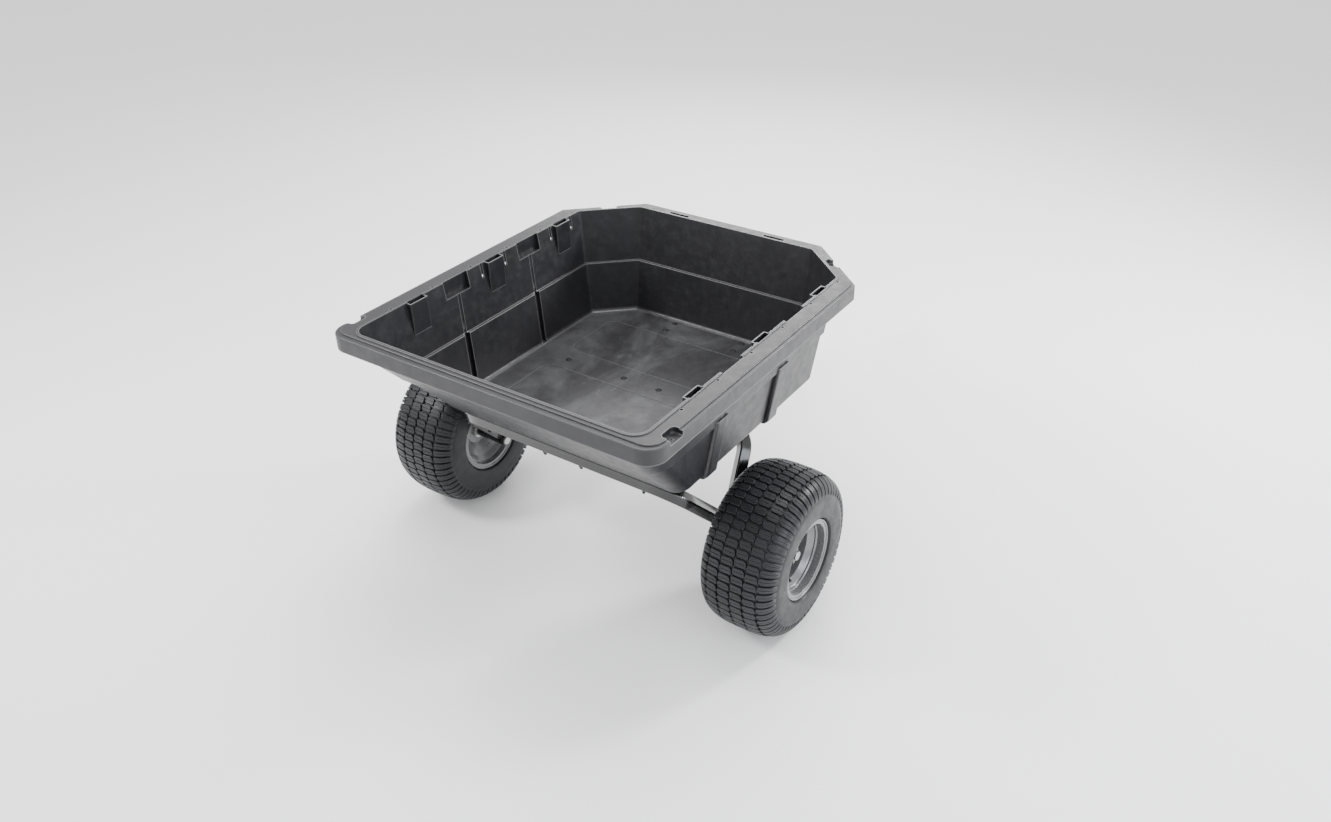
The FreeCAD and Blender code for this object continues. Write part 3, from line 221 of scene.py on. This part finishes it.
def rubber_material(name, dark, light, rough, worn=0.0, edge_highlight=0.0):
    n = Nodes(name)
    cloud = n.noise(9.0, 6.0, 0.65)
    tone = n.blend(n.ranged(cloud, 0.3, 0.72), dark, light)
    specks = n.ranged(n.noise(260.0, 4.0, 0.7), 0.56, 0.78, 0.0, worn)
    tone = n.blend(specks, tone, (0.055, 0.056, 0.062))
    # Painted highlight: a lighter colour along the outward edges of the lugs.
    edge = n.maths("MULTIPLY", n.outer_edges(0.0016, 0.08, 0.42), edge_highlight)
    n.colour(n.blend(edge, tone, (0.062, 0.063, 0.072)))
    n.roughness(n.ranged(n.noise(45.0, 5.0, 0.6), 0.3, 0.75, rough, rough + 0.14))
    first = n.bump(n.noise(900.0, 3.0, 0.6), 0.00015, 0.5)
    n.bump(n.noise(70.0, 3.0, 0.5), 0.0004, 0.3, first)
    n.set(Specular_IOR_Level=0.36)
    return n.material


def plain_plastic_material():
    n = Nodes("bush_plastic")
    n.colour(n.blend(n.ranged(n.noise(40.0), 0.3, 0.7), (0.018, 0.018, 0.019), (0.03, 0.03, 0.032)))
    n.roughness(n.ranged(n.noise(120.0), 0.3, 0.7, 0.40, 0.55))
    n.bump(n.noise(800.0, 2.0), 0.0001, 0.5)
    return n.material


def bolt_material():
    n = Nodes("black_bolts")
    patches = n.ranged(n.noise(85.0, 4.0, 0.6), 0.35, 0.7)
    n.colour(n.blend(patches, (0.006, 0.006, 0.0065), (0.016, 0.0155, 0.015)))
    n.roughness(n.ranged(n.noise(160.0, 3.0, 0.6), 0.3, 0.7, 0.55, 0.75))
    n.bump(n.noise(600.0, 2.0, 0.5), 0.0001, 0.5)
    n.set(Specular_IOR_Level=0.25)
    return n.material


BY_SLOT = {
    "tub_plastic": tub_material(),
    "black_steel": painted_material("black_paint", (0.003, 0.003, 0.0034), (0.006, 0.006, 0.0068),
                                    0.16, 0.45),
    "rim_steel": rim_material(),
    "zinc_steel": zinc_material(),
    "tyre_rubber": rubber_material("tyre_rubber", (0.0070, 0.0075, 0.0098), (0.0140, 0.0146, 0.0180),
                                   0.40, 0.30, 0.6),
    "rubber": rubber_material("plain_rubber", (0.012, 0.012, 0.013), (0.022, 0.022, 0.023), 0.55),
    "bush_plastic": plain_plastic_material(),
}


def dress(piece, slot):
    piece.data.materials.clear()
    piece.data.materials.append(BY_SLOT[slot])


for entry in frame["record"]["subparts"]:
    dress(NODES[entry["node"]], entry["material_slot"])
BLACK_BOLTS = bolt_material()
for name in ("floor_bolts", "latch_bolts"):
    NODES[name].data.materials.clear()
    NODES[name].data.materials.append(BLACK_BOLTS)

# ---- tyres ----------------------------------------------------------------------------------

ROWS = 60                    # lugs round the tyre
COLUMN_WIDTH = 0.0365
COLUMNS = 4
TREAD_DEPTH = 0.0075
RING_GROOVE = 0.0036         # between neighbouring columns
CROSS_GROOVE = 0.0042        # between neighbouring rows
BLOCK_SLANT = 0.26           # of the block ends against the rolling direction
ROW_STAGGER = 0.11           # of the pitch, between neighbouring columns
LUG_EDGE = 0.0013
SIPE_HALF = 0.0009
SIPE_DEPTH = 0.0040
TYRE_EXPONENT = 3.2
RADIAL_DEPTH = 0.076
LUG_END_RADIUS = 0.178       # where the shoulder lugs fade into the sidewall
BEAD_RADIUS = 0.1135
SEAT_RADIUS = 0.1009
HEEL = 0.0955
BEAD_TOE = 0.0790
BEAD_OUTER = 0.0983          # half the width over the bead's outer corners
LOWEST_RADIUS = 0.118        # where the outer section ends at the rim
CARCASS_WALL = 0.0135        # from the outer surface to the air space
SIDE_ROOM = 0.0006           # between the section and the sides of the box
FOOT_SPREAD = 0.0006         # each lug is this much wider at its foot, and reaches this far in
BLOCK_CUT = 0.0044           # cut corners of the middle blocks
BLOCK_EASE = 0.0009
BLOCK_EASE_WIDTH = 0.0012
SHOULDER_CUT = 0.0045
SHOULDER_DROP = 0.0016       # of the lug's end below the surface
SHOULDER_SINK = 0.0004
TURN_STEPS = 208


class Profile:
    """The tyre's outer section: place and outward normal by distance from the crown."""

    def __init__(self, radius, half_width, depth, exponent, low_radius):
        self.middle = radius - depth
        points = []
        steps = 900
        low = math.asin(((self.middle - low_radius) / depth) ** (exponent / 2))
        for i in range(steps + 1):
            angle = math.pi / 2 - (math.pi / 2 + low) * i / steps
            c, s = math.cos(angle), math.sin(angle)
            w = abs(c) ** (2 / exponent) * half_width
            r = self.middle + math.copysign(abs(s) ** (2 / exponent), s) * depth
            points.append((w, r))
        self.points = points
        self.lengths = [0.0]
        for a, b in zip(points, points[1:]):
            self.lengths.append(self.lengths[-1] + math.hypot(b[0] - a[0], b[1] - a[1]))
        self.total = self.lengths[-1]

    def _index(self, s):
        low, high = 0, len(self.lengths) - 1
        while high - low > 1:
            mid = (low + high) // 2
            if self.lengths[mid] <= s:
                low = mid
            else:
                high = mid
        return low

    def at(self, s):
        """(offset across, radius, normal across, normal outward) at arc distance s; odd in s."""
        sign = 1.0 if s >= 0 else -1.0
        s = min(abs(s), self.total - 1e-7)
        i = self._index(s)
        (w0, r0), (w1, r1) = self.points[i], self.points[i + 1]
        share = (s - self.lengths[i]) / max(self.lengths[i + 1] - self.lengths[i], 1e-9)
        step = math.hypot(w1 - w0, r1 - r0) or 1e-9
        return (sign * (w0 + (w1 - w0) * share), r0 + (r1 - r0) * share,
                sign * -(r1 - r0) / step, (w1 - w0) / step)

    def distance_at_radius(self, radius):
        """Arc distance where the sidewall comes down to the radius."""
        for length, (_, r) in zip(self.lengths, self.points):
            if r < radius:
                return length
        return self.total


class TyreMesh:
    """Gathers the vertices and faces of one tyre."""

    def __init__(self, centre, profile):
        self.centre = centre
        self.profile = profile
        self.vertices = []
        self.faces = []

    def point(self, across, radius, turn):
        self.vertices.append((self.centre.x + radius * math.sin(turn), self.centre.y + across,
                              self.centre.z + radius * math.cos(turn)))
        return len(self.vertices) - 1

    def on_surface(self, s, around, height):
        """Vertex at arc distance s, distance around at the tread, and height above the surface."""
        w, r, nw, nr = self.profile.at(s)
        crown = self.profile.points[0][1]
        return self.point(w + nw * height, r + nr * height, around / crown)

    def revolve(self, section):
        """Closed ring from a closed section of (across, radius)."""
        rings = []
        for k in range(TURN_STEPS):
            turn = 2 * math.pi * k / TURN_STEPS
            rings.append([self.point(w, r, turn) for w, r in section])
        count = len(section)
        for k in range(TURN_STEPS):
            here, there = rings[k], rings[(k + 1) % TURN_STEPS]
            for i in range(count):
                j = (i + 1) % count
                self.faces.append((here[i], there[i], there[j], here[j]))

    def lug(self, stations):
        """Block swept across the tyre; a station is (s, around, half width, top, root, sipe, slant)."""
        rows = []
        for s, around, half, top, root, sipe, slant in stations:
            edge = min(LUG_EDGE, half * 0.4)
            sipe = min(sipe, top - root)
            shape = [(-half - FOOT_SPREAD, root), (-half, max(top - edge, root)), (-half + edge, top)]
            shape += [(-SIPE_HALF, top), (-SIPE_HALF * 0.8, top - sipe),
                      (SIPE_HALF * 0.8, top - sipe), (SIPE_HALF, top)]
            shape += [(half - edge, top), (half, max(top - edge, root)), (half + FOOT_SPREAD, root)]
            rows.append([self.on_surface(s + slant * a, around + a, h) for a, h in shape])
        count = len(rows[0])
        for here, there in zip(rows, rows[1:]):
            for i in range(count - 1):
                self.faces.append((here[i], here[i + 1], there[i + 1], there[i]))
            self.faces.append((here[-1], here[0], there[0], there[-1]))
        self.faces.append(tuple(reversed(rows[0])))
        self.faces.append(tuple(rows[-1]))


def block_stations(s0, s1, around, half, root):
    """Middle block: corners cut off and edges eased."""
    length = s1 - s0
    narrow = half - BLOCK_CUT
    eased = narrow + BLOCK_EASE_WIDTH
    plan = ((0.0, narrow, -LUG_EDGE, 0.0), (BLOCK_EASE, eased, 0.0, 0.0),
            (BLOCK_CUT, half, 0.0, SIPE_DEPTH), (length / 2, half, 0.0, SIPE_DEPTH),
            (length - BLOCK_CUT, half, 0.0, SIPE_DEPTH), (length - BLOCK_EASE, eased, 0.0, 0.0),
            (length, narrow, -LUG_EDGE, 0.0))
    return [(s0 + d, around, h, top, root, sipe, BLOCK_SLANT) for d, h, top, sipe in plan]


def shoulder_stations(s0, s1, around, half, root, side):
    """Long lug that runs over the shoulder and fades into the sidewall."""
    stations = []
    steps = 12
    for i in range(steps + 1):
        share = i / steps
        s = s0 + (s1 - s0) * share
        narrow = half * (1.0 - 0.10 * share)
        top = 0.0
        sipe = SIPE_DEPTH
        if i == 0:
            narrow, top, sipe = half - SHOULDER_CUT, -LUG_EDGE, 0.0
        elif share > 0.8:
            top = -SHOULDER_DROP * (share - 0.8) / 0.2
            narrow *= 1.0 - 0.25 * (share - 0.8) / 0.2
        fade = 1.0 - 0.45 * max(0.0, (share - 0.6) / 0.4)
        slant = BLOCK_SLANT * max(0.0, 1.0 - 3.0 * share)
        stations.append((side * s, around, narrow, top, root * fade - SHOULDER_SINK, sipe * fade, slant))
    return stations if side > 0 else list(reversed(stations))


def tyre_section(profile, reach):
    """Closed section of the carcass under the lugs."""
    outer = []
    steps = 72
    end = profile.total
    for i in range(-steps, steps + 1):
        s = end * i / steps
        share = abs(s) / reach
        sink = TREAD_DEPTH
        if share > 0.8:
            t = min(1.0, (share - 0.8) / 0.3)
            sink = TREAD_DEPTH * (1.0 - t * t * (3 - 2 * t))
        w, r, nw, nr = profile.at(s)
        outer.append((w - nw * sink, r - nr * sink))
    foot = [(BEAD_OUTER, BEAD_RADIUS), (HEEL, BEAD_RADIUS), (HEEL, SEAT_RADIUS), (BEAD_TOE, SEAT_RADIUS)]
    inner = []
    for i in range(steps, -steps - 1, -4):
        w, r, nw, nr = profile.at(end * 0.97 * i / steps)
        inner.append((w - nw * CARCASS_WALL, r - nr * CARCASS_WALL))
    return outer + foot + inner + [(-w, r) for w, r in reversed(foot)]


def make_tyre(name, node, side):
    low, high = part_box(node)
    centre = (low + high) / 2
    radius = (high.z - low.z) / 2 - 0.0001
    half_width = (high.y - low.y) / 2 - SIDE_ROOM
    profile = Profile(radius, half_width, RADIAL_DEPTH, TYRE_EXPONENT, LOWEST_RADIUS)
    mesh = TyreMesh(centre, profile)
    reach = profile.distance_at_radius(LUG_END_RADIUS)
    mesh.revolve(tyre_section(profile, reach))
    pitch = 2 * math.pi * radius / ROWS
    half = (pitch - CROSS_GROOVE) / 2
    root = -TREAD_DEPTH - FOOT_SPREAD
    edge = COLUMN_WIDTH * COLUMNS / 2
    for row in range(ROWS):
        for column in range(COLUMNS):
            s0 = -edge + COLUMN_WIDTH * column
            shift = pitch * ROW_STAGGER * (1 if column % 2 else -1)
            mesh.lug(block_stations(s0 + RING_GROOVE / 2, s0 + COLUMN_WIDTH - RING_GROOVE / 2,
                                    pitch * row + shift, half, root))
        for way in (-1, 1):
            mesh.lug(shoulder_stations(edge + RING_GROOVE / 2, reach, pitch * (row + ROW_STAGGER * way),
                                       half, root, way))
    data = bpy.data.meshes.new(name)
    data.from_pydata(mesh.vertices, [], mesh.faces)
    data.validate()
    data.update()
    piece = bpy.data.objects.new(name, data)
    bpy.context.scene.collection.objects.link(piece)
    for polygon in data.polygons:
        polygon.use_smooth = True
    data.set_sharp_from_angle(angle=math.radians(32))
    dress(piece, "tyre_rubber")
    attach(piece, side + "_wheel")
    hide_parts(node)
    return piece


for side in ("left", "right"):
    make_tyre(side + "_turf_tyre", side + "_tyre", side)

# ---- stage, light and camera ----------------------------------------------------------------


def area_light(name, place, target, size, watts, colour=(1.0, 1.0, 1.0)):
    light = bpy.data.lights.new(name, "AREA")
    light.shape = "RECTANGLE"
    light.size, light.size_y = size
    light.energy = watts
    light.color = colour
    thing = bpy.data.objects.new(name, light)
    thing.location = place
    thing.rotation_euler = (Vector(target) - Vector(place)).to_track_quat("-Z", "Y").to_euler()
    bpy.context.scene.collection.objects.link(thing)


def make_floor():
    data = bpy.data.meshes.new("studio_floor")
    reach = 30.0
    corners = [(-reach, -reach, 0), (reach, -reach, 0), (reach, reach, 0), (-reach, reach, 0)]
    data.from_pydata(corners, [], [(0, 1, 2, 3)])
    thing = bpy.data.objects.new("studio_floor", data)
    bpy.context.scene.collection.objects.link(thing)
    n = Nodes("studio_floor")
    n.colour(n.blend(n.noise(2.0), (0.93, 0.93, 0.93), (0.95, 0.95, 0.95)))
    n.roughness(n.ranged(n.noise(6.0), 0.3, 0.7, 0.75, 0.85))
    thing.data.materials.append(n.material)


make_floor()
world = bpy.data.worlds.new("studio")
world.use_nodes = True
world.node_tree.nodes["Background"].inputs["Color"].default_value = (1.0, 1.0, 1.0, 1.0)
world.node_tree.nodes["Background"].inputs["Strength"].default_value = 1.35
bpy.context.scene.world = world

MIDDLE = (-0.35, 0.0, 0.5)
area_light("top_softbox", (0.4, 0.3, 3.8), MIDDLE, (2.2, 2.2), 110.0)
area_light("right_softbox", (-0.9, -3.6, 1.7), MIDDLE, (2.4, 1.3), 62.0, (0.86, 0.92, 1.0))
area_light("front_softbox", (2.3, -2.1, 2.1), MIDDLE, (0.6, 0.6), 120.0)
area_light("rear_softbox", (-2.3, 2.2, 3.0), MIDDLE, (0.8, 0.8), 100.0)
area_light("back_softbox", (3.2, 1.6, 2.4), MIDDLE, (2.4, 1.4), 80.0)

AXLE_X = (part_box("left_tyre")[0].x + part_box("left_tyre")[1].x) / 2
CAMERA_X = AXLE_X - 2.034356
CAMERA_Y = -1.61875
CAMERA_Z = 2.108097
YAW = 0.607
PITCH = 0.566
ROLL = -0.02
SENSOR_WIDTH = 36.0
FOCAL = SENSOR_WIDTH * 0.8391698


def make_camera():
    level = math.cos(PITCH)
    forward = Vector((math.cos(YAW) * level, math.sin(YAW) * level, -math.sin(PITCH)))
    right = Vector((math.sin(YAW), -math.cos(YAW), 0.0))
    up = right.cross(forward)
    tilted_right = right * math.cos(ROLL) + up * math.sin(ROLL)
    tilted_up = up * math.cos(ROLL) - right * math.sin(ROLL)
    camera = bpy.data.cameras.new("camera")
    camera.lens = FOCAL
    camera.sensor_width = SENSOR_WIDTH
    thing = bpy.data.objects.new("camera", camera)
    matrix = thing.matrix_world.copy()
    for row in range(3):
        matrix[row][0] = tilted_right[row]
        matrix[row][1] = tilted_up[row]
        matrix[row][2] = -forward[row]
    matrix[0][3], matrix[1][3], matrix[2][3] = CAMERA_X, CAMERA_Y, CAMERA_Z
    thing.matrix_world = matrix
    bpy.context.scene.collection.objects.link(thing)
    bpy.context.scene.camera = thing


make_camera()
